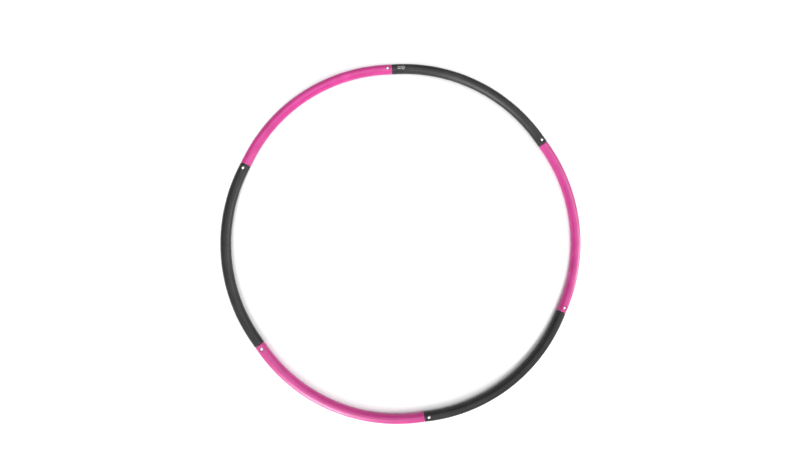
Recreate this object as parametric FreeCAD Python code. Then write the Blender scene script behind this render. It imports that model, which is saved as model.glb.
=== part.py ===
"""Sectional fitness hoop: bent steel tubes in foam sleeves, joined end to end by spigots with snap clips.

Every section is the same: a socket with a button hole at its start, a spigot with a snap clip at its end.
The hoop lies flat. Origin: centre of the hoop at floor level, +Z up. Joint 1 is on +X, sections run counterclockwise.
Units are millimetres.
"""

import FreeCAD
import Part

import math
import os

from FreeCAD import Placement, Rotation, Vector

# ---- driving dimensions ----
hoop_outer_diameter = 1000.0  # over the foam, at the middle of two opposite sections
section_count = 6

foam_thickness = 4.0
foam_end_gap = 0.15  # from each foam end to the joint plane
foam_end_radius = 1.8

core_diameter = 19.0
core_wall = 0.8
core_end_gap = 0.35  # from each steel end to the joint plane

spigot_reach = 28.0  # beyond the joint plane, into the next section
spigot_hold = 28.0  # held in its own section
spigot_clearance = 0.25  # radial, in the next section's tube
spigot_wall = 0.95
spigot_nose_length = 2.0
spigot_nose_depth = 0.45

button_diameter = 7.0
button_from_joint = 12.3
button_sink = 0.4  # top of the button below the foam's surface
button_dome = 1.6
button_skin = 0.7
spigot_hole_clearance = 0.25  # radial, round the button
core_hole_clearance = 0.3
foam_hole_clearance = 1.75
release_clearance = 0.2  # top of the pressed button below the socket's bore

strip_thickness = 0.6
strip_margin = 1.0  # strip beside the button, each side
strip_clearance = 0.1  # strip corners to the spigot's bore
strip_bend_from_joint = -6.0
strip_foot_from_joint = 14.0

rivet_diameter = 3.2
rivet_from_joint = 20.0
rivet_head_diameter = 5.6
rivet_head_height = 0.7
rivet_tail_diameter = 4.4
rivet_tail_height = 0.9
rivet_pocket_clearance = 0.3

bend_share = 0.7  # share of the spigot's clearance that its straight tip may use up in the bend

# ---- sizes that follow ----
turn = 360.0 / section_count
half_turn = math.radians(turn / 2)
core_radius = core_diameter / 2
core_bore = core_radius - core_wall
foam_radius = core_radius + foam_thickness
spigot_radius = core_bore - spigot_clearance
spigot_bore = spigot_radius - spigot_wall
button_radius = button_diameter / 2

tip_in_bend = math.sqrt(2 * (hoop_outer_diameter / 2) * bend_share * spigot_clearance)
straight = spigot_reach - tip_in_bend  # straight length at each end of a section
middle_radius = hoop_outer_diameter / 2 - foam_radius
joint_radius = middle_radius - straight * (1 / math.sin(half_turn) - 1 / math.tan(half_turn))
bend_radius = joint_radius - straight / math.tan(half_turn)

strip_width = button_diameter + 2 * strip_margin
strip_top = math.sqrt((spigot_bore - strip_clearance) ** 2 - (strip_width / 2) ** 2)
strip_line = strip_top - strip_thickness / 2  # height of the strip's middle above the tube's axis
button_top = foam_radius - button_sink
button_travel = button_top - core_bore + release_clearance

up = Vector(0, 0, 1)
overrun = 1.0  # how far a cutting tool runs past what it cuts


def joint_frame(number):
    """Local frame of a joint: x counterclockwise along the tube, z up, origin on the tube's axis."""
    angle = turn * number
    corner = Rotation(up, angle).multVec(Vector(joint_radius, 0, foam_radius))
    return Placement(corner, Rotation(up, angle + 90))


def placed(shape, frame):
    moved = shape.copy()
    moved.Placement = frame.multiply(moved.Placement)
    return moved


def along_joint(radius, joint, start, end):
    """Round bar on the straight line through a joint, from start to end along it."""
    bar = Part.makeCylinder(radius, end - start, Vector(start, 0, 0), Vector(1, 0, 0))
    return placed(bar, joint_frame(joint))


def bend(radius, first=0.0, last=turn):
    """Round bar bent about the first section's centre of bend, between two angles."""
    centre = Vector(joint_radius - bend_radius, straight, foam_radius)
    ring = Part.makeTorus(bend_radius, radius, Vector(0, 0, 0), up, 0, 360, last - first)
    ring.rotate(Vector(0, 0, 0), up, first)
    ring.translate(centre)
    return ring


def section_bar(radius, gap):
    """Solid bar along the whole first section, stopping gap short of both joint planes."""
    start = along_joint(radius, 0, gap, straight)
    end = along_joint(radius, 1, -straight, -gap)
    return start.fuse([bend(radius), end]).removeSplitter()


def upright(joint, distance, radius, low, high):
    """Vertical cylinder crossing the tube of the first section, from low to high about its axis."""
    post = Part.makeCylinder(radius, high - low, Vector(distance, 0, low), up)
    return placed(post, joint_frame(joint))


def rivet_axis():
    """Point on the bent axis of the first section, rivet_from_joint short of its end."""
    angle = math.radians(turn) - (rivet_from_joint - straight) / bend_radius
    x = joint_radius - bend_radius + bend_radius * math.cos(angle)
    y = straight + bend_radius * math.sin(angle)
    return Vector(x, y, foam_radius)


def at_rivet(radius, low, high):
    """Vertical cylinder on the rivet's axis, from low to high about the tube's axis."""
    post = Part.makeCylinder(radius, high - low, Vector(0, 0, low), up)
    post.translate(rivet_axis())
    return post


def domed_pin(radius, low, high, dome):
    """Upright pin whose top is a spherical cap of the given height."""
    shoulder = high - dome
    cap_radius = (radius**2 + dome**2) / (2 * dome)
    lean = math.asin(radius / cap_radius) / 2
    mid = Vector(cap_radius * math.sin(lean), 0, high - cap_radius * (1 - math.cos(lean)))
    base, rim = Vector(radius, 0, low), Vector(radius, 0, shoulder)
    foot, crown = Vector(0, 0, low), Vector(0, 0, high)
    edges = [
        Part.LineSegment(foot, base).toShape(),
        Part.LineSegment(base, rim).toShape(),
        Part.Arc(rim, mid, crown).toShape(),
        Part.LineSegment(crown, foot).toShape(),
    ]
    return Part.Face(Part.Wire(edges)).revolve(Vector(0, 0, 0), up, 360)


def foam_sleeve():
    sleeve = section_bar(foam_radius, foam_end_gap)
    rims = [e for e in sleeve.Edges if is_end_rim(e)]
    sleeve = sleeve.makeFillet(foam_end_radius, rims)
    sleeve = sleeve.cut(section_bar(core_radius, -overrun))
    hole = button_radius + foam_hole_clearance
    sleeve = sleeve.cut(upright(0, button_from_joint, hole, 0, foam_radius + overrun))
    pocket = rivet_head_diameter / 2 + rivet_pocket_clearance
    depth = core_radius + rivet_head_height + rivet_pocket_clearance
    return sleeve.cut(at_rivet(pocket, -depth, 0))


def is_end_rim(edge):
    """True for the two circles where the sleeve's outside meets its end faces."""
    if not isinstance(edge.Curve, Part.Circle):
        return False
    for number in (0, 1):
        local = joint_frame(number).inverse().multVec(edge.CenterOfMass)
        if abs(abs(local.x) - foam_end_gap) < 1e-3 and math.hypot(local.y, local.z) < 1e-3:
            return True
    return False


def core_tube():
    tube = section_bar(core_radius, core_end_gap)
    tube = tube.cut(section_bar(core_bore, -overrun))
    hole = button_radius + core_hole_clearance
    tube = tube.cut(upright(0, button_from_joint, hole, 0, core_radius + overrun))
    return tube.cut(at_rivet(rivet_diameter / 2, -core_radius - overrun, 0))


def spigot_bar(radius, hold):
    """Bar that follows the first section's end back from the joint by hold."""
    held = math.degrees((hold - straight) / bend_radius)
    back = bend(radius, turn - held, turn)
    return along_joint(radius, 1, -straight, -core_end_gap).fuse(back)


def joint_spigot():
    held = spigot_bar(core_bore, spigot_hold)
    neck = along_joint(spigot_radius, 1, -core_end_gap, spigot_reach - spigot_nose_length)
    nose = Part.makeCone(
        spigot_radius,
        spigot_radius - spigot_nose_depth,
        spigot_nose_length,
        Vector(spigot_reach - spigot_nose_length, 0, 0),
        Vector(1, 0, 0),
    )
    body = held.fuse([neck, placed(nose, joint_frame(1))]).removeSplitter()
    bore = spigot_bar(spigot_bore, spigot_hold + overrun)
    bore = bore.fuse(along_joint(spigot_bore, 1, -core_end_gap, spigot_reach + overrun))
    body = body.cut(bore)
    hole = button_radius + spigot_hole_clearance
    body = body.cut(upright(1, button_from_joint, hole, 0, core_radius))
    return body.cut(at_rivet(rivet_diameter / 2, -core_radius, 0))


def clip_strip():
    """U-shaped spring strip: a foot along the bottom of the spigot, a bend, and the button's leg on top."""
    tip = button_from_joint + strip_width / 2
    foot_end = Vector(strip_foot_from_joint, 0, -strip_line)
    foot_bend = Vector(strip_bend_from_joint, 0, -strip_line)
    back = Vector(strip_bend_from_joint - strip_line, 0, 0)
    leg_bend = Vector(strip_bend_from_joint, 0, strip_line)
    outline = []
    for side in (1, -1):
        shift = side * strip_thickness / 2
        outline.append(
            [
                foot_end + Vector(0, 0, -shift),
                foot_bend + Vector(0, 0, -shift),
                back + Vector(-shift, 0, 0),
                leg_bend + Vector(0, 0, shift),
                Vector(tip, 0, strip_line + shift),
            ]
        )
    outside, inside = outline
    edges = []
    for a, b, c, d, e in (outside, inside):
        edges += [Part.LineSegment(a, b).toShape(), Part.Arc(b, c, d).toShape(), Part.LineSegment(d, e).toShape()]
    edges += [
        Part.LineSegment(outside[0], inside[0]).toShape(),
        Part.LineSegment(outside[-1], inside[-1]).toShape(),
    ]
    profile = Part.Face(Part.Wire(Part.__sortEdges__(edges)))
    strip = profile.extrude(Vector(0, strip_width, 0))
    strip.translate(Vector(0, -strip_width / 2, 0))
    behind = Part.makeBox(100, strip_width, 40, Vector(button_from_joint - 100, -strip_width / 2, -20))
    round_tip = Part.makeCylinder(strip_width / 2, 40, Vector(button_from_joint, 0, -20), up)
    return strip.common(behind.fuse(round_tip))


def snap_clip():
    pin = domed_pin(button_radius, strip_line, button_top, button_dome)
    hollow = domed_pin(
        button_radius - button_skin,
        strip_line - strip_thickness,
        button_top - button_skin,
        button_dome,
    )
    across = Vector(button_from_joint, 0, 0)
    for shape in (pin, hollow):
        shape.translate(across)
    clip = clip_strip().fuse(pin).cut(hollow)
    return placed(clip.removeSplitter(), joint_frame(1))


def spigot_rivet():
    shank = at_rivet(rivet_diameter / 2, -core_radius - rivet_head_height / 2, -spigot_bore + rivet_tail_height / 2)
    head = at_rivet(rivet_head_diameter / 2, -core_radius - rivet_head_height, -core_radius + overrun)
    head = head.cut(section_bar(core_radius, core_end_gap))
    head = max(head.Solids, key=lambda s: -s.CenterOfMass.z)
    tail = at_rivet(rivet_tail_diameter / 2, -spigot_bore - overrun, -spigot_bore + rivet_tail_height)
    tail = tail.common(spigot_bar(spigot_bore, spigot_hold))
    return shank.fuse([head, tail]).removeSplitter()


def main():
    os.makedirs("parts", exist_ok=True)
    pieces = {
        "foam_sleeve": foam_sleeve(),
        "core_tube": core_tube(),
        "joint_spigot": joint_spigot(),
        "snap_clip": snap_clip(),
        "spigot_rivet": spigot_rivet(),
    }
    for name, shape in pieces.items():
        print(f"{name}: {len(shape.Solids)} solid, valid {shape.isValid()}, {shape.Volume:.0f} mm3")
        for number in range(section_count):
            copy = shape.copy()
            copy.rotate(Vector(0, 0, 0), up, turn * number)
            copy.exportStep(f"parts/{name}_{number + 1}.step")
    print(f"straight ends {straight:.2f}, joint radius {joint_radius:.2f}, bend radius {bend_radius:.2f}")
    print(f"foam radius {foam_radius:.2f}, button travel {button_travel:.2f}, strip line {strip_line:.2f}")


main()
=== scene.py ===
import math

import bmesh
import bpy
from mathutils import Matrix, Vector


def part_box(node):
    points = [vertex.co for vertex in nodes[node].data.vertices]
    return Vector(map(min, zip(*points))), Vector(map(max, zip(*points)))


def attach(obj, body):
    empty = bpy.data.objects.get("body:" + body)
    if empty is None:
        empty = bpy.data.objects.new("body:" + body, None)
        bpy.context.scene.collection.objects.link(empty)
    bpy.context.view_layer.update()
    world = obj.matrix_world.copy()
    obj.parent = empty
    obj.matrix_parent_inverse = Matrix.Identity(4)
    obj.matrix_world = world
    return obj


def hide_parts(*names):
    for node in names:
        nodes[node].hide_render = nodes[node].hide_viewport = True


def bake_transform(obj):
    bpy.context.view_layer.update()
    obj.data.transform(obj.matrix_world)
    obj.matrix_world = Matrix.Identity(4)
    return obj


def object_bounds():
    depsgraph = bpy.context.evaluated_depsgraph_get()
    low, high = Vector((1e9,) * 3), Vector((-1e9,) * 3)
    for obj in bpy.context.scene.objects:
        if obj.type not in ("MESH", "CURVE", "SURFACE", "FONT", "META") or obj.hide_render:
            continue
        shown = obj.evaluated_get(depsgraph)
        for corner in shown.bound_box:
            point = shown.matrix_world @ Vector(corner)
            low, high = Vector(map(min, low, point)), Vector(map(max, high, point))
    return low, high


# Sectional exercise hoop: six bent steel tubes in foam sleeves, grey and pink by turns,
# plugged into each other and held by snap buttons. Metres throughout, the hoop flat on the floor.

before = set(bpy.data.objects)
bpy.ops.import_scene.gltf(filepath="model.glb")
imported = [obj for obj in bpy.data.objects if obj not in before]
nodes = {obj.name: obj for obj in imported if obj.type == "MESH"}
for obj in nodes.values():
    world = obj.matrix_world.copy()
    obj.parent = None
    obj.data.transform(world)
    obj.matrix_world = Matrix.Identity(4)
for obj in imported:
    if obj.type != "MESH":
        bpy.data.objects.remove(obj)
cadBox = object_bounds()
scene = bpy.context.scene
mm = 0.001

sectionCount = 6
turn = math.radians(360 / sectionCount)


def halfHeight(node):
    low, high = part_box(node)
    return (high.z - low.z) / 2


hoop = {
    "outerRadius": (cadBox[1].y - cadBox[0].y) / 2,
    "tubeRadius": halfHeight("foam_sleeve_1"),
    "coreRadius": halfHeight("core_tube_1"),
    "straight": 14.77 * mm,  # straight tube at each end of a section
    "floor": cadBox[0].z,
}
hoop["axisHeight"] = hoop["floor"] + hoop["tubeRadius"]
# the middle of a section lies further out than its joints
middleGain = hoop["straight"] * (1 / math.sin(turn / 2) - 1 / math.tan(turn / 2))
hoop["jointRadius"] = hoop["outerRadius"] - hoop["tubeRadius"] - middleGain
hoop["bendRadius"] = hoop["jointRadius"] - hoop["straight"] / math.tan(turn / 2)
hoop["length"] = 2 * hoop["straight"] + hoop["bendRadius"] * turn


def jointFrame(number):
    # x counterclockwise along the tube, y to the middle of the hoop, z up, origin on the tube's axis
    angle = turn * number
    corner = Vector((hoop["jointRadius"], 0, hoop["axisHeight"]))
    corner.rotate(Matrix.Rotation(angle, 3, "Z"))
    return Matrix.Translation(corner) @ Matrix.Rotation(angle + math.pi / 2, 4, "Z")


# a little language for node trees
class Wire:
    # one output of a node; arithmetic on it adds Math nodes
    def __init__(self, graph, socket):
        self.graph = graph
        self.socket = socket

    def __add__(self, other):
        return self.graph.maths("ADD", self, other)

    def __radd__(self, other):
        return self.graph.maths("ADD", other, self)

    def __sub__(self, other):
        return self.graph.maths("SUBTRACT", self, other)

    def __rsub__(self, other):
        return self.graph.maths("SUBTRACT", other, self)

    def __mul__(self, other):
        return self.graph.maths("MULTIPLY", self, other)

    def __rmul__(self, other):
        return self.graph.maths("MULTIPLY", other, self)

    def __truediv__(self, other):
        return self.graph.maths("DIVIDE", self, other)

    def __rtruediv__(self, other):
        return self.graph.maths("DIVIDE", other, self)

    def __abs__(self):
        return self.graph.maths("ABSOLUTE", self)

    def __lt__(self, other):
        return self.graph.maths("LESS_THAN", self, other)

    def __gt__(self, other):
        return self.graph.maths("GREATER_THAN", self, other)


class Graph:
    def __init__(self, tree):
        self.tree = tree
        tree.nodes.clear()

    def feed(self, socket, value):
        if isinstance(value, Wire):
            self.tree.links.new(value.socket, socket)
        else:
            socket.default_value = value

    def node(self, kind, settings=None, values=None, out=0):
        made = self.tree.nodes.new(kind)
        for name, value in (settings or {}).items():
            setattr(made, name, value)
        for name, value in (values or {}).items():
            self.feed(made.inputs[name], value)
        return Wire(self, made.outputs[out] if made.outputs else None)

    def maths(self, operation, *values):
        return self.node("ShaderNodeMath", {"operation": operation}, dict(enumerate(values)))

    def sin(self, value):
        return self.maths("SINE", value)

    def cos(self, value):
        return self.maths("COSINE", value)

    def root(self, value):
        return self.maths("SQRT", value)

    def clamp(self, value, low, high):
        return self.maths("MINIMUM", self.maths("MAXIMUM", value, low), high)

    def ramp(self, value, start, end):
        # 0 before start, 1 after end
        return self.node("ShaderNodeMapRange", values={"Value": value, "From Min": start, "From Max": end})

    def split(self, vector):
        made = self.node("ShaderNodeSeparateXYZ", values={"Vector": vector}).socket.node
        return [Wire(self, made.outputs[i]) for i in range(3)]

    def vector(self, x, y, z):
        return self.node("ShaderNodeCombineXYZ", values={"X": x, "Y": y, "Z": z})

    def noise(self, vector, scale, detail, roughness, distortion=0.0):
        values = {"Vector": vector, "Scale": scale, "Detail": detail}
        values.update({"Roughness": roughness, "Distortion": distortion})
        return self.node("ShaderNodeTexNoise", {"noise_dimensions": "3D"}, values)

    def cells(self, vector, scale, feature, values=None):
        settings = {"feature": feature, "voronoi_dimensions": "3D"}
        place = {"Vector": vector, "Scale": scale}
        return self.node("ShaderNodeTexVoronoi", settings, {**place, **(values or {})})

    def mix(self, factor, first, second):
        # a Mix node set to colour has its factor at input 0 and its colours at inputs 6 and 7
        return self.node("ShaderNodeMix", {"data_type": "RGBA"}, {0: factor, 6: first, 7: second}, out=2)


# materials
def newMaterial(name):
    material = bpy.data.materials.new(name)
    material.use_nodes = True
    return material, Graph(material.node_tree)


def closeMaterial(graph, shader):
    graph.node("ShaderNodeOutputMaterial", values={"Surface": shader})


foam = {
    "grain": 0.75 * mm,  # size of the closed cells in the skin
    "openCell": 0.55 * mm,  # size of the cells that a cut shows
    "reliefHeight": 0.07 * mm,
    "reliefStrength": 0.55,
    "cloudSize": 38 * mm,
    "fineSize": 1.6 * mm,
    "streakLength": 60 * mm,
    "streakWidth": 2.4 * mm,
    "scuffSize": 5 * mm,
    "rimLightFrom": 0.10 * mm,  # the rounded ends get lighter the further they fall away, partly as wear and partly as a painted highlight on the rounding
    "rimLightTo": 1.6 * mm,
    "cutFrom": 1.5 * mm,  # below this depth the foam is cut and not skin
    "cutTo": 2.2 * mm,
}

mark = {
    "fromEnd": 25.5 * mm,  # middle of the mark, from the section's end
    "inward": 1.0 * mm,  # towards the middle of the hoop
    "ringAt": -5.5 * mm,
    "ringRadius": 4.3 * mm,
    "ringHalf": 0.55 * mm,
    "dotRadius": 1.3 * mm,
    "barAt": 5.5 * mm,
    "barHalfLength": 4.0 * mm,
    "barSide": 2.4 * mm,
    "barHalfWidth": 0.85 * mm,
    "blur": 0.3 * mm,  # soft edge of the print
    "wearSize": 2.2 * mm,
    "tone": (0.36, 0.36, 0.35, 1),
}

foamTones = {
    "grey": {
        "base": (0.0110, 0.0110, 0.0108, 1),
        "light": (0.0205, 0.0203, 0.0199, 1),
        "dark": (0.0070, 0.0070, 0.0069, 1),
        # tone of the scuffs, also used for the painted highlight on the rounded ends
        "rubbedAndRimHighlight": (0.075, 0.074, 0.071, 1),
        "cut": (0.018, 0.018, 0.017, 1),
        "roughness": 0.33,
        "gloss": {"IOR": 1.45, "Specular IOR Level": 0.38},
    },
    "pink": {
        "base": (0.385, 0.0155, 0.165, 1),
        "light": (0.430, 0.028, 0.195, 1),
        "dark": (0.330, 0.012, 0.130, 1),
        # tone of the scuffs, also used for the painted highlight on the rounded ends
        "rubbedAndRimHighlight": (0.620, 0.160, 0.360, 1),
        "cut": (0.330, 0.024, 0.130, 1),
        "roughness": 0.27,
        "gloss": {"IOR": 1.45, "Specular IOR Level": 0.75},
    },
}


def printedMark(g, along, across, height):
    # a ring with a dot, and two short bars beside it
    u = along - (hoop["length"] - mark["fromEnd"])
    v = across - mark["inward"]

    def within(distance, edge):
        return 1 - g.ramp(distance, edge, edge + mark["blur"])

    fromRing = u - mark["ringAt"]
    fromRing = g.root(fromRing * fromRing + v * v)
    ring = within(abs(fromRing - mark["ringRadius"]), mark["ringHalf"])
    dot = within(fromRing, mark["dotRadius"])
    barEnds = within(abs(u - mark["barAt"]), mark["barHalfLength"])
    bars = within(abs(abs(v) - mark["barSide"]), mark["barHalfWidth"]) * barEnds
    shape = g.maths("MAXIMUM", g.maths("MAXIMUM", ring, dot), bars)
    return shape * (height > 0.0)


def foamMaterial(name, tones, marked):
    material, g = newMaterial(name)
    skin = g.node("ShaderNodeAttribute", {"attribute_name": "skin"}, out=1)
    along, across, height = g.split(skin)
    depth = hoop["tubeRadius"] - g.root(across * across + height * height)
    streakSpace = g.vector(along * (foam["streakWidth"] / foam["streakLength"]), across, height)

    clouds = g.noise(skin, 1 / foam["cloudSize"], 3.0, 0.55)
    streaks = g.noise(streakSpace, 1 / foam["streakWidth"], 3.0, 0.6)
    fine = g.noise(skin, 1 / foam["fineSize"], 2.0, 0.6)
    lightness = clouds * 0.45 + streaks * 0.40 + fine * 0.15
    colour = g.mix(g.ramp(lightness, 0.50, 0.64), tones["base"], tones["light"])
    colour = g.mix(g.ramp(lightness, 0.49, 0.37), colour, tones["dark"])

    # pale scuffs in streaks along the tube, and the rounded ends made lighter, partly as wear and partly as
    # a painted highlight on the rounding
    scuffs = g.noise(streakSpace, 1 / foam["scuffSize"], 4.0, 0.7)
    scuffed = g.ramp(scuffs, 0.60, 0.74) * g.ramp(clouds, 0.48, 0.62)
    # painted highlight: the rounded ends turn lighter all the way round, standing in for light caught by
    # the rounding as well as for wear
    wornAndRimHighlight = g.ramp(depth, foam["rimLightFrom"], foam["rimLightTo"]) * (0.55 + 0.45 * g.ramp(fine, 0.35, 0.6))
    inside = g.ramp(depth, foam["cutFrom"], foam["cutTo"])
    colour = g.mix(scuffed * 0.30, colour, tones["rubbedAndRimHighlight"])
    # the ends take the lighter tone: wear and a painted highlight
    colour = g.mix(wornAndRimHighlight * 0.75, colour, tones["rubbedAndRimHighlight"])
    colour = g.mix(inside, colour, tones["cut"])
    if marked:
        wear = g.ramp(g.noise(skin, 1 / mark["wearSize"], 4.0, 0.7), 0.30, 0.52)
        printed = printedMark(g, along, across, height) * (0.55 + 0.45 * wear)
        colour = g.mix(printed * 0.85, colour, mark["tone"])

    cells = g.cells(skin, 1 / foam["grain"], "SMOOTH_F1", {"Smoothness": 0.6})
    openCells = g.cells(skin, 1 / foam["openCell"], "F1")
    roughness = tones["roughness"] + 0.10 * streaks + 0.08 * fine + 0.10 * scuffed + 0.20 * inside
    relief = cells * 0.6 * (1 - inside) + fine * 0.7 + streaks * 0.9 + openCells * (1.6 * inside)
    bumpValues = {"Strength": foam["reliefStrength"], "Distance": foam["reliefHeight"], "Height": relief}
    bump = g.node("ShaderNodeBump", values=bumpValues)
    values = {"Base Color": colour, "Roughness": roughness, "Normal": bump}
    values.update(tones["gloss"])
    closeMaterial(g, g.node("ShaderNodeBsdfPrincipled", values=values))
    return material


steelGrain = {
    "gritSize": 0.35 * mm,
    "lineSize": 1.6 * mm,
    "scratchSize": 3.2 * mm,
    "drawn": 14.0,  # draw lines are this much longer than wide
    "reliefHeight": 0.03 * mm,
    "reliefStrength": 0.35,
}

steels = {
    "core": {
        "bright": (0.48, 0.48, 0.475, 1),
        "dull": (0.34, 0.34, 0.34, 1),
        "metallic": 1.0,
        "roughness": 0.30,
        "patch": 9 * mm,
        "scratch": 0.5,
    },
    "spigot": {
        "bright": (0.50, 0.50, 0.49, 1),
        "dull": (0.36, 0.36, 0.355, 1),
        "metallic": 1.0,
        "roughness": 0.26,
        "patch": 6 * mm,
        "scratch": 0.8,
    },
    "rivet": {
        "bright": (0.62, 0.61, 0.58, 1),
        "dull": (0.40, 0.39, 0.37, 1),
        "metallic": 1.0,
        "roughness": 0.36,
        "patch": 2 * mm,
        "scratch": 0.4,
    },
    "button": {
        "bright": (0.94, 0.94, 0.93, 1),
        "dull": (0.80, 0.80, 0.79, 1),
        "metallic": 0.82,
        "roughness": 0.36,
        "patch": 2.5 * mm,
        "scratch": 0.5,
    },
}


def steelMaterial(name, look):
    material, g = newMaterial(name)
    place = g.node("ShaderNodeTexCoord", out=3)
    patches = g.noise(place, 1 / look["patch"], 4.0, 0.65, 0.4)
    grit = g.noise(place, 1 / steelGrain["gritSize"], 3.0, 0.7)
    x, y, z = g.split(place)
    lineSpace = g.vector(x, y, z * steelGrain["drawn"])
    drawn = g.noise(lineSpace, 1 / steelGrain["lineSize"], 3.0, 0.6)
    lines = g.noise(lineSpace, 1 / steelGrain["scratchSize"], 4.0, 0.8)
    scratches = g.ramp(abs(lines - 0.5), 0.012, 0.0)
    stained = g.ramp(patches, 0.42, 0.62)
    colour = g.mix(stained, look["bright"], look["dull"])
    colour = g.mix(scratches * look["scratch"], colour, look["dull"])
    roughness = look["roughness"] + 0.14 * stained + 0.10 * drawn + 0.12 * scratches * look["scratch"]
    relief = drawn * 0.5 + grit * 0.3 - scratches * look["scratch"] * 0.6
    bumpValues = {"Strength": steelGrain["reliefStrength"], "Distance": steelGrain["reliefHeight"]}
    bump = g.node("ShaderNodeBump", values={**bumpValues, "Height": relief})
    values = {"Base Color": colour, "Metallic": look["metallic"], "Roughness": roughness, "Normal": bump}
    closeMaterial(g, g.node("ShaderNodeBsdfPrincipled", values=values))
    return material


materials = {
    "markedGreyFoam": foamMaterial("markedGreyFoam", foamTones["grey"], True),
    "greyFoam": foamMaterial("greyFoam", foamTones["grey"], False),
    "pinkFoam": foamMaterial("pinkFoam", foamTones["pink"], False),
}
for steel, look in steels.items():
    materials[steel] = steelMaterial(steel + "Steel", look)
print("materials made:", len(materials))


# foam sleeves
sleeve = {
    "endGap": 0.15 * mm,  # foam end to the plane of the joint
    "endRadius": 1.8 * mm,
    "holeFromJoint": 12.3 * mm,
    "holeRadius": 5.25 * mm,
    "lipRadius": 0.7 * mm,
    "patchHalf": 9.0 * mm,  # half the length of the net's square round the hole
    "swell": 0.11 * mm,  # unevenness of the moulded skin
    "swellSize": 34 * mm,
    "patternShift": 0.73,  # from one section's pattern to the next one's
    "swellDepth": 1.0 * mm,  # how far below the skin the swelling fades out
    "weld": 0.01 * mm,
    "crease": 0.7,  # edges turned by more than this many radians stay sharp
    "columns": 64,  # round the tube
    # rows of the outline's stretches, from the start's bore edge round to the same edge
    "outlineRows": [3, 5, 1, 16, 160, 5, 3, 56, 16, 1],
    # rows of the hole: square to lip, lip, wall, wall's foot to square
    "holeRows": [5, 5, 4, 4],
}


def openTree(name, sizes):
    tree = bpy.data.node_groups.new(name, "GeometryNodeTree")
    tree.interface.new_socket("Geometry", in_out="OUTPUT", socket_type="NodeSocketGeometry")
    tree.interface.new_socket("Material", in_out="INPUT", socket_type="NodeSocketMaterial")
    for size in sizes:
        tree.interface.new_socket(size, in_out="INPUT", socket_type="NodeSocketFloat")
    g = Graph(tree)
    given = g.node("NodeGroupInput").socket.node
    return g, {socket.name: Wire(g, socket) for socket in given.outputs if socket.name}


def closeTree(g, geometry, material):
    whole = g.node("GeometryNodeRealizeInstances", values={"Geometry": geometry})
    painted = g.node("GeometryNodeSetMaterial", values={"Geometry": whole, "Material": material})
    g.node("NodeGroupOutput", values={"Geometry": painted})


def triangleWave(g, turns):
    # 1 at whole turns, -1 half way between
    return 1 - 4 * abs(g.maths("FRACT", turns + 0.5) - 0.5)


def plainGrid(g, rows):
    # a flat grid of unit squares, with its row number and its distance from the middle column
    columns = sleeve["columns"]
    values = {"Size X": rows, "Size Y": columns, "Vertices X": rows + 1, "Vertices Y": columns + 1}
    grid = g.node("GeometryNodeMeshGrid", values=values)
    x, y, _ = g.split(g.node("GeometryNodeInputPosition"))
    return grid, x + rows / 2, y


def wallGrid(g, size):
    # the sleeve's outline, end face, outside, end face and bore, taken round the tube
    counts = sleeve["outlineRows"]
    columns = sleeve["columns"]
    grid, row, y = plainGrid(g, sum(counts))
    stretches = []
    begun = 0
    for count in counts:
        stretches.append(g.ramp(row, begun, begun + count))
        begun += count
    face, rise, lead, net, wall, fall, farFace, back, netBack, leadBack = stretches
    onNet = (row > sum(counts[:3])) * (row < sum(counts[:4]))
    onNetBack = (row > sum(counts[:8])) * (row < sum(counts[:9]))
    atHole = (onNet + onNetBack) * (abs(y) < columns / 8)
    deleteValues = {"Geometry": grid, "Selection": atHole}
    opened = g.node("GeometryNodeDeleteGeometry", {"domain": "FACE"}, deleteValues)

    quarter = math.pi / 2
    farEnd = size["Length"] - size["End Gap"]
    leadLength = size["Hole Distance"] - size["Net Half"] - size["End Gap"]
    beyondNet = farEnd - size["Hole Distance"] - size["Net Half"]
    rounding = size["End Radius"]
    along = size["End Gap"] + rounding * (1 - g.cos(rise * quarter)) + (leadLength - rounding) * lead
    along = along + 2 * size["Net Half"] * net + (beyondNet - rounding) * wall
    along = along + rounding * g.sin(fall * quarter)
    along = along - beyondNet * back - 2 * size["Net Half"] * netBack - leadLength * leadBack
    thickness = size["Outer Radius"] - size["Bore Radius"]
    radius = size["Bore Radius"] + (thickness - rounding) * (face - farFace)
    radius = radius + rounding * g.sin(rise * quarter) - rounding * (1 - g.cos(fall * quarter))
    angle = y * (2 * math.pi / columns)
    place = g.vector(along, radius * g.sin(angle), radius * g.cos(angle))
    return g.node("GeometryNodeSetPosition", values={"Geometry": opened, "Position": place})


def holeGrid(g, size):
    # from the net's square on the outside, over the lip and down the hole, to the square on the bore
    counts = sleeve["holeRows"]
    grid, row, y = plainGrid(g, sum(counts))
    turns = y / sleeve["columns"] + 0.5
    toCircle = g.ramp(row, 0, counts[0])
    lip = g.ramp(row, counts[0], sum(counts[:2])) * (math.pi / 2)
    down = g.ramp(row, sum(counts[:2]), sum(counts[:3]))
    toSquare = g.ramp(row, sum(counts[:3]), sum(counts))

    p = g.clamp(2 * triangleWave(g, turns), -1.0, 1.0)
    q = g.clamp(2 * triangleWave(g, turns - 0.25), -1.0, 1.0)
    squareSide = g.sin(q * (math.pi / 4))
    circle = size["Hole Radius"] + size["Lip Radius"] * (1 - g.sin(lip))
    onCircle = toCircle - toSquare
    angle = turns * (2 * math.pi)
    along = p * size["Net Half"] * (1 - onCircle) + circle * g.cos(angle) * onCircle
    across = size["Outer Radius"] * squareSide * (1 - toCircle)
    across = across + size["Bore Radius"] * squareSide * toSquare
    across = across + circle * g.sin(angle) * onCircle
    outside = g.root(size["Outer Radius"] * size["Outer Radius"] - across * across)
    outside = outside - size["Lip Radius"] * (1 - g.cos(lip))
    bore = g.root(size["Bore Radius"] * size["Bore Radius"] - across * across)
    place = g.vector(along + size["Hole Distance"], across, outside * (1 - down) + bore * down)
    return g.node("GeometryNodeSetPosition", values={"Geometry": grid, "Position": place})


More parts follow.
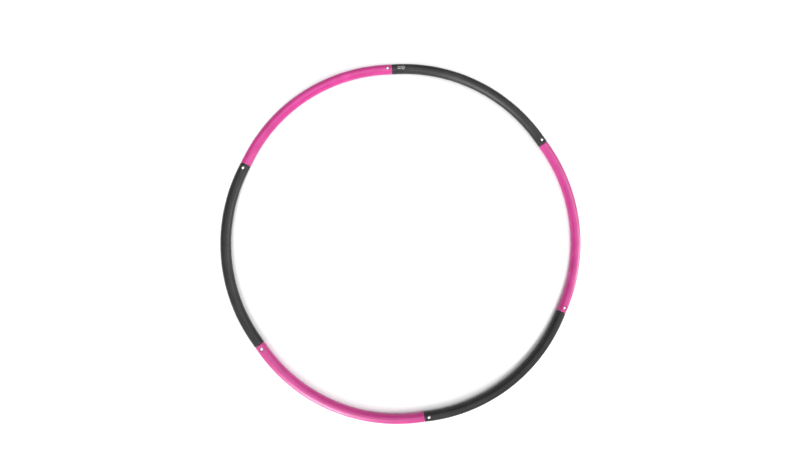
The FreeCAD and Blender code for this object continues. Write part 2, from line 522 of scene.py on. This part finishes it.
def sleeveTree():
    sizes = [
        "Length",
        "End Gap",
        "End Radius",
        "Outer Radius",
        "Bore Radius",
        "Hole Distance",
        "Hole Radius",
        "Lip Radius",
        "Net Half",
        "Straight",
        "Bend Radius",
        "Bend Centre X",
        "Bend Centre Y",
        "Start Angle",
        "Turn",
        "Axis Height",
        "Swell",
        "Pattern Shift",
    ]
    g, size = openTree("foamSleeve", sizes)
    joined = g.node("GeometryNodeJoinGeometry").socket.node
    for part in (wallGrid(g, size), holeGrid(g, size)):
        g.tree.links.new(part.socket, joined.inputs[0])
    mergeValues = {"Geometry": Wire(g, joined.outputs[0]), "Distance": sleeve["weld"]}
    closed = g.node("GeometryNodeMergeByDistance", values=mergeValues)

    # the straight tube's own coordinates go along with the mesh, for the patterns
    x, y, z = g.split(g.node("GeometryNodeInputPosition"))
    skin = g.vector(x + size["Pattern Shift"], y, z)
    storeSettings = {"data_type": "FLOAT_VECTOR", "domain": "POINT"}
    storeValues = {"Geometry": closed, "Name": "skin", "Value": skin}
    named = g.node("GeometryNodeStoreNamedAttribute", storeSettings, storeValues)

    # a slightly uneven skin
    radius = g.root(y * y + z * z)
    onSkin = g.ramp(radius, size["Outer Radius"] - sleeve["swellDepth"], size["Outer Radius"])
    swelling = g.noise(skin, 1 / sleeve["swellSize"], 2.0, 0.5) - 0.5
    # the noise stays within about a quarter of its middle value
    normal = g.node("GeometryNodeInputNormal")
    pushValues = {0: normal, "Scale": swelling * onSkin * size["Swell"] * 4}
    push = g.node("ShaderNodeVectorMath", {"operation": "SCALE"}, pushValues)
    uneven = g.node("GeometryNodeSetPosition", values={"Geometry": named, "Offset": push})

    # the bend: straight, an arc, straight
    along = x - size["Straight"]
    bent = g.clamp(along / size["Bend Radius"], 0.0, size["Turn"])
    beyond = along - bent * size["Bend Radius"]
    angle = size["Start Angle"] + bent
    outward = size["Bend Radius"] - y
    placeX = size["Bend Centre X"] + outward * g.cos(angle) - beyond * g.sin(angle)
    placeY = size["Bend Centre Y"] + outward * g.sin(angle) + beyond * g.cos(angle)
    place = g.vector(placeX, placeY, size["Axis Height"] + z)
    curved = g.node("GeometryNodeSetPosition", values={"Geometry": uneven, "Position": place})

    smoothValues = {"Geometry": curved, "Shade Smooth": True}
    smooth = g.node("GeometryNodeSetShadeSmooth", {"domain": "FACE"}, smoothValues)
    edgeAngle = g.node("GeometryNodeInputMeshEdgeAngle")
    edgeValues = {"Geometry": smooth, "Selection": edgeAngle > sleeve["crease"], "Shade Smooth": False}
    creased = g.node("GeometryNodeSetShadeSmooth", {"domain": "EDGE"}, edgeValues)
    closeTree(g, creased, size["Material"])
    return g.tree


def faceOutwards(mesh):
    b = bmesh.new()
    b.from_mesh(mesh)
    bmesh.ops.recalc_face_normals(b, faces=b.faces)
    b.to_mesh(mesh)
    b.free()
    mesh.update()


def growMesh(name, tree, material, values):
    # runs a tree on an empty mesh and keeps the result as a plain mesh
    made = bpy.data.objects.new(name, bpy.data.meshes.new(name))
    scene.collection.objects.link(made)
    modifier = made.modifiers.new("grow", "NODES")
    modifier.node_group = tree
    sockets = {item.name: item.identifier for item in tree.interface.items_tree if item.in_out == "INPUT"}
    modifier[sockets["Material"]] = material
    for size, value in values.items():
        modifier[sockets[size]] = value
    bpy.context.view_layer.update()
    evaluated = made.evaluated_get(bpy.context.evaluated_depsgraph_get())
    plain = bpy.data.meshes.new_from_object(evaluated)
    made.modifiers.remove(modifier)
    empty = made.data
    made.data = plain
    bpy.data.meshes.remove(empty)
    plain.name = name
    faceOutwards(plain)
    return made


def makeSleeves():
    tree = sleeveTree()
    made = []
    for number in range(1, sectionCount + 1):
        start = turn * (number - 1)
        middle = jointFrame(number - 1) @ Vector((hoop["straight"], hoop["bendRadius"], 0))
        values = {
            "Length": hoop["length"],
            "End Gap": sleeve["endGap"],
            "End Radius": sleeve["endRadius"],
            "Outer Radius": hoop["tubeRadius"],
            "Bore Radius": hoop["coreRadius"],
            "Hole Distance": sleeve["holeFromJoint"],
            "Hole Radius": sleeve["holeRadius"],
            "Lip Radius": sleeve["lipRadius"],
            "Net Half": sleeve["patchHalf"],
            "Straight": hoop["straight"],
            "Bend Radius": hoop["bendRadius"],
            "Bend Centre X": middle.x,
            "Bend Centre Y": middle.y,
            "Start Angle": start,
            "Turn": turn,
            "Axis Height": hoop["axisHeight"],
            "Swell": sleeve["swell"],
            "Pattern Shift": sleeve["patternShift"] * (number - 1),
        }
        tone = "grey" if number % 2 else "pink"
        finish = "markedGreyFoam" if number == 1 else tone + "Foam"
        piece = growMesh(f"foamSleeve{number}", tree, materials[finish], values)
        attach(piece, f"section_{number}")
        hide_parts(f"foam_sleeve_{number}")
        made.append(piece)
    return made


sleeves = makeSleeves()
print("foam sleeves made:", len(sleeves), "of", len(sleeves[0].data.polygons), "faces")


# snap clips
clip = {
    "thickness": 0.6 * mm,
    "halfWidth": 4.5 * mm,
    "line": 5.57 * mm,  # middle of the strip, above and below the tube's axis
    "bendAt": -6.0 * mm,
    "footEnd": 14.0 * mm,
    "buttonAt": 12.3 * mm,
    "buttonRadius": 3.5 * mm,
    "buttonTop": 13.1 * mm,
    "dome": 1.6 * mm,
    "crownRound": 0.45 * mm,
    "crownIn": 0.9,  # how far the shoulder goes in and up, in crown rounds
    "crownUp": 1.6,
    "crownLean": 0.05 * mm,
    "baseFlare": 0.45 * mm,
    "baseSink": 0.02 * mm,
    "buttonSides": 48,
    "skin": 0.7 * mm,  # wall of the drawn button
    "edgeRound": 0.12 * mm,
    "sliver": 0.002 * mm,
    "crease": math.radians(38),
    "footSteps": 14,
    "bendSteps": 20,
    "legSteps": 18,
    "tipSteps": 12,
    "flareSteps": 4,
    "crownSteps": 5,
    "capSteps": 8,
    # a point follows the button by its x + 1.8 z, not at all up to followFrom and wholly from followTo
    "follow": (1.0, 0.0, 1.8),
    "followFrom": 4.0 * mm,
    "followTo": 18.0 * mm,
}


def stripStations():
    # (x, z, direction of the strip's outer side, half width) from the foot's end round to the leg's tip
    line = clip["line"]
    steps = clip["footSteps"]
    stations = []
    for i in range(steps + 1):
        x = clip["footEnd"] + (clip["bendAt"] - clip["footEnd"]) * i / steps
        stations.append((x, -line, math.pi * 1.5, clip["halfWidth"]))
    steps = clip["bendSteps"]
    for i in range(1, steps):
        lean = math.pi * 1.5 - math.pi * i / steps
        x = clip["bendAt"] + line * math.cos(lean)
        stations.append((x, line * math.sin(lean), lean, clip["halfWidth"]))
    steps = clip["legSteps"]
    for i in range(steps + 1):
        x = clip["bendAt"] + (clip["buttonAt"] - clip["bendAt"]) * i / steps
        stations.append((x, line, math.pi / 2, clip["halfWidth"]))
    steps = clip["tipSteps"]
    for i in range(1, steps):
        lean = math.pi / 2 * i / steps
        x = clip["buttonAt"] + clip["halfWidth"] * math.sin(lean)
        stations.append((x, line, math.pi / 2, clip["halfWidth"] * math.cos(lean)))
    return stations


def stripMesh():
    b = bmesh.new()
    half = clip["thickness"] / 2
    edge = clip["edgeRound"]
    rings = []
    for x, z, lean, width in stripStations():
        away = Vector((math.cos(lean), 0, math.sin(lean)))
        outline = []
        for side, top in ((1, 1), (-1, 1), (-1, -1), (1, -1)):
            corner = [(width, half - edge), (width - edge, half)]
            if side * top < 0:
                corner.reverse()
            outline += [(side * across, top * out) for across, out in corner]
        rings.append([b.verts.new(Vector((x, across, z)) + away * out) for across, out in outline])
    for first, second in zip(rings, rings[1:]):
        for i in range(len(first)):
            j = (i + 1) % len(first)
            b.faces.new((first[i], first[j], second[j], second[i]))
    b.faces.new(rings[0])
    b.faces.new(rings[-1])
    bmesh.ops.recalc_face_normals(b, faces=b.faces)
    return b


def lathe(profile):
    # profile runs from the axis, out and back to the axis
    segments = clip["buttonSides"]
    b = bmesh.new()
    rings = []
    for radius, height in profile:
        if radius < 1e-9:
            rings.append([b.verts.new((0, 0, height))])
            continue
        ring = []
        for i in range(segments):
            angle = 2 * math.pi * i / segments
            ring.append(b.verts.new((radius * math.cos(angle), radius * math.sin(angle), height)))
        rings.append(ring)
    for first, second in zip(rings, rings[1:]):
        for i in range(segments):
            j = (i + 1) % segments
            corners = [first[i % len(first)], first[j % len(first)]]
            corners += [second[j % len(second)], second[i % len(second)]]
            b.faces.new(list(dict.fromkeys(corners)))
    bmesh.ops.recalc_face_normals(b, faces=b.faces)
    return b


def capRadius(radius, dome):
    return (radius * radius + dome * dome) / (2 * dome)


def buttonProfile():
    # drawn button: flared foot, straight wall, rounded shoulder and shallow dome
    radius = clip["buttonRadius"]
    top = clip["buttonTop"]
    shoulder = top - clip["dome"]
    stripTop = clip["line"] + clip["thickness"] / 2
    flare = clip["baseFlare"]
    crown = clip["crownRound"]
    ball = capRadius(radius, clip["dome"])
    profile = [(0, clip["line"]), (radius + flare, clip["line"])]
    profile.append((radius + flare, stripTop - clip["baseSink"]))
    steps = clip["flareSteps"]
    for i in range(steps + 1):
        lean = math.pi / 2 * i / steps
        profile.append((radius + flare * (1 - math.sin(lean)), stripTop + flare * (1 - math.cos(lean))))
    profile.append((radius, shoulder - crown))
    capLean = math.asin(radius / ball)
    steps = clip["crownSteps"]
    for i in range(1, steps + 1):
        share = i / steps
        lean = math.pi / 2 + (capLean - math.pi / 2) * share
        profile.append((
            radius - crown * clip["crownIn"] * (1 - math.sin(lean)) - clip["crownLean"] * share,
            shoulder - crown + crown * math.cos(lean) * clip["crownUp"],
        ))
    lastRadius, lastHeight = profile[-1]
    steps = clip["capSteps"]
    for i in range(1, steps + 1):
        share = 1 - i / steps
        r = lastRadius * share
        drop = ball - math.sqrt(ball * ball - r * r)
        scale = (top - lastHeight) / (ball - math.sqrt(ball * ball - lastRadius * lastRadius))
        profile.append((r, top - drop * scale))
    return profile


def hollowProfile():
    radius = clip["buttonRadius"] - clip["skin"]
    top = clip["buttonTop"] - clip["skin"]
    ball = capRadius(radius, clip["dome"])
    bottom = clip["line"] - clip["thickness"]
    profile = [(0, bottom), (radius, bottom), (radius, top - clip["dome"])]
    steps = clip["capSteps"]
    for i in range(1, steps + 1):
        r = radius * (1 - i / steps)
        profile.append((r, top - ball + math.sqrt(ball * ball - r * r)))
    return profile


def meshFrom(b, name):
    mesh = bpy.data.meshes.new(name)
    b.to_mesh(mesh)
    b.free()
    return mesh


def joinSolid(target, mesh, operation):
    # unites with or cuts away a second closed mesh
    tool = bpy.data.objects.new("tool", mesh)
    scene.collection.objects.link(tool)
    modifier = target.modifiers.new(operation, "BOOLEAN")
    modifier.operation = operation
    modifier.solver = "EXACT"
    modifier.object = tool
    bpy.context.view_layer.update()
    evaluated = target.evaluated_get(bpy.context.evaluated_depsgraph_get())
    result = bpy.data.meshes.new_from_object(evaluated)
    target.modifiers.remove(modifier)
    target.data = result
    bpy.data.objects.remove(tool)
    bpy.data.meshes.remove(mesh)


def dropSlivers(mesh):
    # the Boolean steps leave needle faces, which would shade badly
    b = bmesh.new()
    b.from_mesh(mesh)
    bmesh.ops.dissolve_degenerate(b, edges=b.edges, dist=clip["sliver"])
    bmesh.ops.triangulate(b, faces=[face for face in b.faces if len(face.verts) > 4])
    bmesh.ops.recalc_face_normals(b, faces=b.faces)
    b.to_mesh(mesh)
    b.free()


def makeClipMesh():
    body = bpy.data.objects.new("clipBody", meshFrom(stripMesh(), "clipStrip"))
    scene.collection.objects.link(body)
    across = Matrix.Translation((clip["buttonAt"], 0, 0))
    for profile, operation in ((buttonProfile(), "UNION"), (hollowProfile(), "DIFFERENCE")):
        mesh = meshFrom(lathe(profile), "clipTool")
        mesh.transform(across)
        joinSolid(body, mesh, operation)
    mesh = body.data
    mesh.name = "snapClip"
    dropSlivers(mesh)
    bpy.data.objects.remove(body)
    return mesh


def makeClips():
    pattern = makeClipMesh()
    pattern.materials.clear()
    pattern.materials.append(materials["button"])
    pattern.shade_smooth()
    pattern.set_sharp_from_angle(angle=clip["crease"])
    made = []
    for number in range(1, sectionCount + 1):
        mesh = pattern.copy()
        mesh.name = f"snapClip{number}"
        at = jointFrame(number)
        mesh.transform(at)
        piece = bpy.data.objects.new(f"snapClip{number}", mesh)
        scene.collection.objects.link(piece)
        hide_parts(f"snap_clip_{number}")
        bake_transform(piece)
        made.append(piece)
    bpy.data.meshes.remove(pattern)
    return made


clips = makeClips()
print("snap clips made:", len(clips), "of", len(clips[0].data.polygons), "faces")

# the steel parts keep the shape they came with and get a finish
for kind, finish in (("core_tube", "core"), ("joint_spigot", "spigot"), ("spigot_rivet", "rivet")):
    for number in range(1, sectionCount + 1):
        for slot in nodes[f"{kind}_{number}"].material_slots:
            slot.material = materials[finish]
print("steel parts finished")


# floor, lights and camera
studio = {
    "floorSize": 60.0,
    "floorTone": (0.86, 0.86, 0.865, 1),
    "floorRoughness": 0.42,
    "worldTone": (1.0, 1.0, 1.0, 1),
    "worldStrength": 0.46,
    "lampDistance": 4.0,
    # name, bearing, height and breadth in degrees, strength
    "lamps": [
        ("leftLowLamp", -149.0, 20.0, 26.0, 3.3),
        ("leftHighLamp", -138.0, 50.0, 20.0, 0.95),
        ("rightLowLamp", -40.0, 20.0, 16.0, 1.5),
        ("rightHighLamp", -17.0, 50.0, 20.0, 0.85),
        ("overheadLamp", -125.0, 84.0, 60.0, 1.0),
    ],
}


def makeFloor():
    half = studio["floorSize"] / 2
    mesh = bpy.data.meshes.new("floor")
    corners = [(-half, -half), (half, -half), (half, half), (-half, half)]
    mesh.from_pydata([(x, y, hoop["floor"]) for x, y in corners], [], [(0, 1, 2, 3)])
    material, g = newMaterial("floorPaper")
    values = {"Base Color": studio["floorTone"], "Roughness": studio["floorRoughness"], "IOR": 1.4}
    closeMaterial(g, g.node("ShaderNodeBsdfPrincipled", values=values))
    mesh.materials.append(material)
    floor = bpy.data.objects.new("floor", mesh)
    scene.collection.objects.link(floor)


def makeLamps():
    for name, bearing, height, breadth, strength in studio["lamps"]:
        data = bpy.data.lights.new(name, "SUN")
        data.angle = math.radians(breadth)
        data.energy = strength
        lamp = bpy.data.objects.new(name, data)
        scene.collection.objects.link(lamp)
        across = Matrix.Rotation(math.radians(bearing), 3, "Z")
        raised = Matrix.Rotation(math.radians(-height), 3, "Y")
        lamp.location = across @ raised @ Vector((studio["lampDistance"], 0, 0))
        lamp.rotation_euler = (-lamp.location).to_track_quat("-Z", "Y").to_euler()


def makeWorld():
    # white where the camera looks past the floor, dimmer as a light
    world = bpy.data.worlds.new("studio")
    world.use_nodes = True
    g = Graph(world.node_tree)
    seen = g.node("ShaderNodeLightPath")
    strength = studio["worldStrength"] + seen * (1 - studio["worldStrength"])
    background = g.node("ShaderNodeBackground", values={"Color": studio["worldTone"], "Strength": strength})
    g.node("ShaderNodeOutputWorld", values={"Surface": background})
    scene.world = world


camera = {
    "lens": 20.4,
    "sensor": 36.0,
    "reach": 2.6,  # distance from the hoop's middle, in joint radii
    "lean": 7.15,  # degrees off straight down
    "bearing": 200.6,  # of the camera, in degrees from the view's right
    "aim": (-0.0430, 0.0312),  # to the view's right and up, in joint radii
    "roll": -35.3,  # bearing of the view's right, from the joint where section 1 starts
}


def makeCamera():
    data = bpy.data.cameras.new("camera")
    data.lens = camera["lens"]
    data.sensor_width = camera["sensor"]
    made = bpy.data.objects.new("camera", data)
    scene.collection.objects.link(made)
    scene.camera = made
    radius = hoop["jointRadius"]
    roll = Matrix.Rotation(math.radians(camera["roll"]), 3, "Z")
    lean = math.radians(camera["lean"])
    bearing = math.radians(camera["bearing"])
    flat = camera["reach"] * math.sin(lean)
    eye = Vector((flat * math.cos(bearing), flat * math.sin(bearing), camera["reach"] * math.cos(lean)))
    height = Vector((0, 0, hoop["axisHeight"]))
    eye = roll @ (eye * radius) + height
    target = roll @ (Vector((*camera["aim"], 0)) * radius) + height
    back = (eye - target).normalized()
    right = (roll @ Vector((0, 1, 0))).cross(back).normalized()
    upward = back.cross(right)
    turned = Matrix((right, upward, back)).transposed().to_4x4()
    made.matrix_world = Matrix.Translation(eye) @ turned


makeFloor()
makeLamps()
makeWorld()
makeCamera()
scene.view_settings.view_transform = "Standard"
print("studio set")
